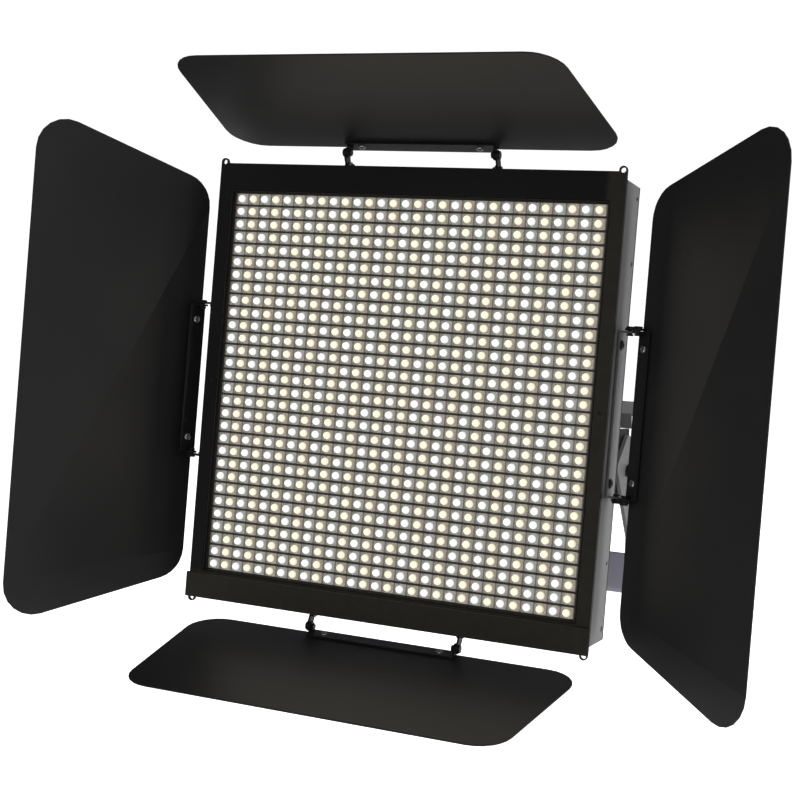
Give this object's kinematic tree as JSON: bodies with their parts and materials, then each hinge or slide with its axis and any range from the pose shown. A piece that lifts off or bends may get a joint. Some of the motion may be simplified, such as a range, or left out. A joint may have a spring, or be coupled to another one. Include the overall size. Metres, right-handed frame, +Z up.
{
  "type": "led panel light",
  "caption": "Flat square lamp panel with a grid of lamp domes, four hinged barn doors with rounded corners, rear controls and a tilting yoke on a stand receiver.",
  "frame": {"origin": "centre of the stand receiver's lower face, where the stand's stud goes in", "axes": "+Z up along the receiver; the lamps face -Y, leaning back 12 degrees; +X to the right as seen from the front"},
  "size_m": [0.5591, 0.339, 0.4708],
  "materials": {
    "satin_black_paint": "satin black powder coat",
    "grey_side_paint": "satin dark grey paint",
    "leaf_paint": "fine matt black powder coat on sheet",
    "dark_steel": "blackened steel",
    "plated_steel": "nickel plated",
    "raw_aluminium": "plain aluminium",
    "circuit_board": "green solder mask",
    "lamp_lens": "clear lamp domes, lit",
    "reflector_plastic": "black moulded cells",
    "black_plastic": "moulded black plastic",
    "grey_plastic": "moulded grey plastic",
    "display_glass": "dark display window"
  },
  "bodies": {
    "yoke": {"yoke_arm_left": "grey_side_paint", "yoke_arm_right": "grey_side_paint", "yoke_brace": "grey_side_paint", "yoke_bar": "grey_plastic", "bar_cap_left": "grey_side_paint", "bar_cap_right": "grey_side_paint", "stand_receiver": "raw_aluminium", "tilt_bolt": "dark_steel"},
    "panel": {"front_frame": "satin_black_paint", "bottom_rail": "satin_black_paint", "side_casing": "grey_side_paint", "rear_cover": "satin_black_paint", "led_array": "lamp_lens", "reflector_grid": "reflector_plastic", "led_board": "circuit_board", "heat_spreader": "raw_aluminium", "driver_board_left": "circuit_board", "driver_board_right": "circuit_board", "power_supply": "raw_aluminium", "tilt_ear_left": "satin_black_paint", "tilt_ear_right": "satin_black_paint", "control_housing": "satin_black_paint", "control_board": "circuit_board", "control_plate": "black_plastic", "display_window": "display_glass", "power_inlet": "black_plastic", "data_in_socket": "plated_steel", "data_out_socket": "plated_steel", "right_body_bracket": "grey_side_paint", "top_body_bracket": "grey_side_paint", "left_body_bracket": "grey_side_paint", "bottom_body_bracket": "grey_side_paint"},
    "right_links": {"right_link_a": "dark_steel", "right_link_b": "dark_steel"},
    "right_door": {"right_leaf": "leaf_paint", "right_leaf_bracket": "dark_steel"},
    "top_links": {"top_link_a": "dark_steel", "top_link_b": "dark_steel"},
    "top_door": {"top_leaf": "leaf_paint", "top_leaf_bracket": "dark_steel"},
    "left_links": {"left_link_a": "dark_steel", "left_link_b": "dark_steel"},
    "left_door": {"left_leaf": "leaf_paint", "left_leaf_bracket": "dark_steel"},
    "bottom_links": {"bottom_link_a": "dark_steel", "bottom_link_b": "dark_steel"},
    "bottom_door": {"bottom_leaf": "leaf_paint", "bottom_leaf_bracket": "dark_steel"},
    "tilt_knob": {"tilt_knob": "black_plastic"},
    "clamp_screw": {"clamp_screw": "black_plastic"},
    "dimmer_dial": {"dimmer_dial": "black_plastic"},
    "colour_dial": {"colour_dial": "black_plastic"},
    "menu_button": {"menu_button": "grey_plastic"},
    "set_button": {"set_button": "grey_plastic"},
    "power_rocker": {"power_rocker": "black_plastic"}
  },
  "joints": [
    {"name": "panel_tilt", "type": "hinge", "parent": "yoke", "child": "panel", "pos_m": [0, -0.0345, 0.1578], "axis": [1, 0, 0], "range_deg": [-48, 27]},
    {"name": "right_link_swing", "type": "hinge", "parent": "panel", "child": "right_links", "pos_m": [0.171, -0.10556, 0.21789], "axis": [0, 0.2079, 0.9781], "range_deg": [-8, 50]},
    {"name": "right_leaf_swing", "type": "hinge", "parent": "right_links", "child": "right_door", "pos_m": [0.17879, -0.11449, 0.21978], "axis": [0, 0.2079, 0.9781], "range_deg": [-43, 14]},
    {"name": "top_link_swing", "type": "hinge", "parent": "panel", "child": "top_links", "pos_m": [0, -0.06938, 0.38809], "axis": [-1, 0, 0], "range_deg": [-8, 35]},
    {"name": "top_leaf_swing", "type": "hinge", "parent": "top_links", "child": "top_door", "pos_m": [0, -0.07303, 0.39952], "axis": [-1, 0, 0], "range_deg": [-12.1, 39.9]},
    {"name": "left_link_swing", "type": "hinge", "parent": "panel", "child": "left_links", "pos_m": [-0.171, -0.10556, 0.21789], "axis": [0, -0.2079, -0.9781], "range_deg": [-8, 12]},
    {"name": "left_leaf_swing", "type": "hinge", "parent": "left_links", "child": "left_door", "pos_m": [-0.18286, -0.10376, 0.21751], "axis": [0, -0.2079, -0.9781], "range_deg": [-31.3, 60]},
    {"name": "bottom_link_swing", "type": "hinge", "parent": "panel", "child": "bottom_links", "pos_m": [0, -0.14174, 0.04769], "axis": [1, 0, 0], "range_deg": [-8, 35]},
    {"name": "bottom_leaf_swing", "type": "hinge", "parent": "bottom_links", "child": "bottom_door", "pos_m": [0, -0.14935, 0.03842], "axis": [1, 0, 0], "range_deg": [-7.7, 44.3]},
    {"name": "tilt_knob_turn", "type": "hinge", "parent": "yoke", "child": "tilt_knob", "pos_m": [-0.165, -0.0345, 0.1578], "axis": [-1, 0, 0], "range_deg": [0, 360]},
    {"name": "clamp_screw_turn", "type": "hinge", "parent": "yoke", "child": "clamp_screw", "pos_m": [0, 0.03, 0.016], "axis": [0, 1, 0], "range_deg": [0, 360]},
    {"name": "dimmer_turn", "type": "hinge", "parent": "panel", "child": "dimmer_dial", "pos_m": [-0.048, -0.04385, 0.28553], "axis": [0, 0.9781, -0.2079], "range_deg": [-135, 135]},
    {"name": "colour_turn", "type": "hinge", "parent": "panel", "child": "colour_dial", "pos_m": [0.048, -0.04385, 0.28553], "axis": [0, 0.9781, -0.2079], "range_deg": [-135, 135]},
    {"name": "menu_press", "type": "slide", "parent": "panel", "child": "menu_button", "axis": [0, -0.9781, 0.2079], "range_m": [0, 0.0015], "stiffness_N_per_m": 400},
    {"name": "set_press", "type": "slide", "parent": "panel", "child": "set_button", "axis": [0, -0.9781, 0.2079], "range_m": [0, 0.0015], "stiffness_N_per_m": 400},
    {"name": "rocker_tip", "type": "hinge", "parent": "panel", "child": "power_rocker", "pos_m": [-0.0555, -0.05397, 0.2427], "axis": [-1, 0, 0], "range_deg": [0, 14]}
  ]
}
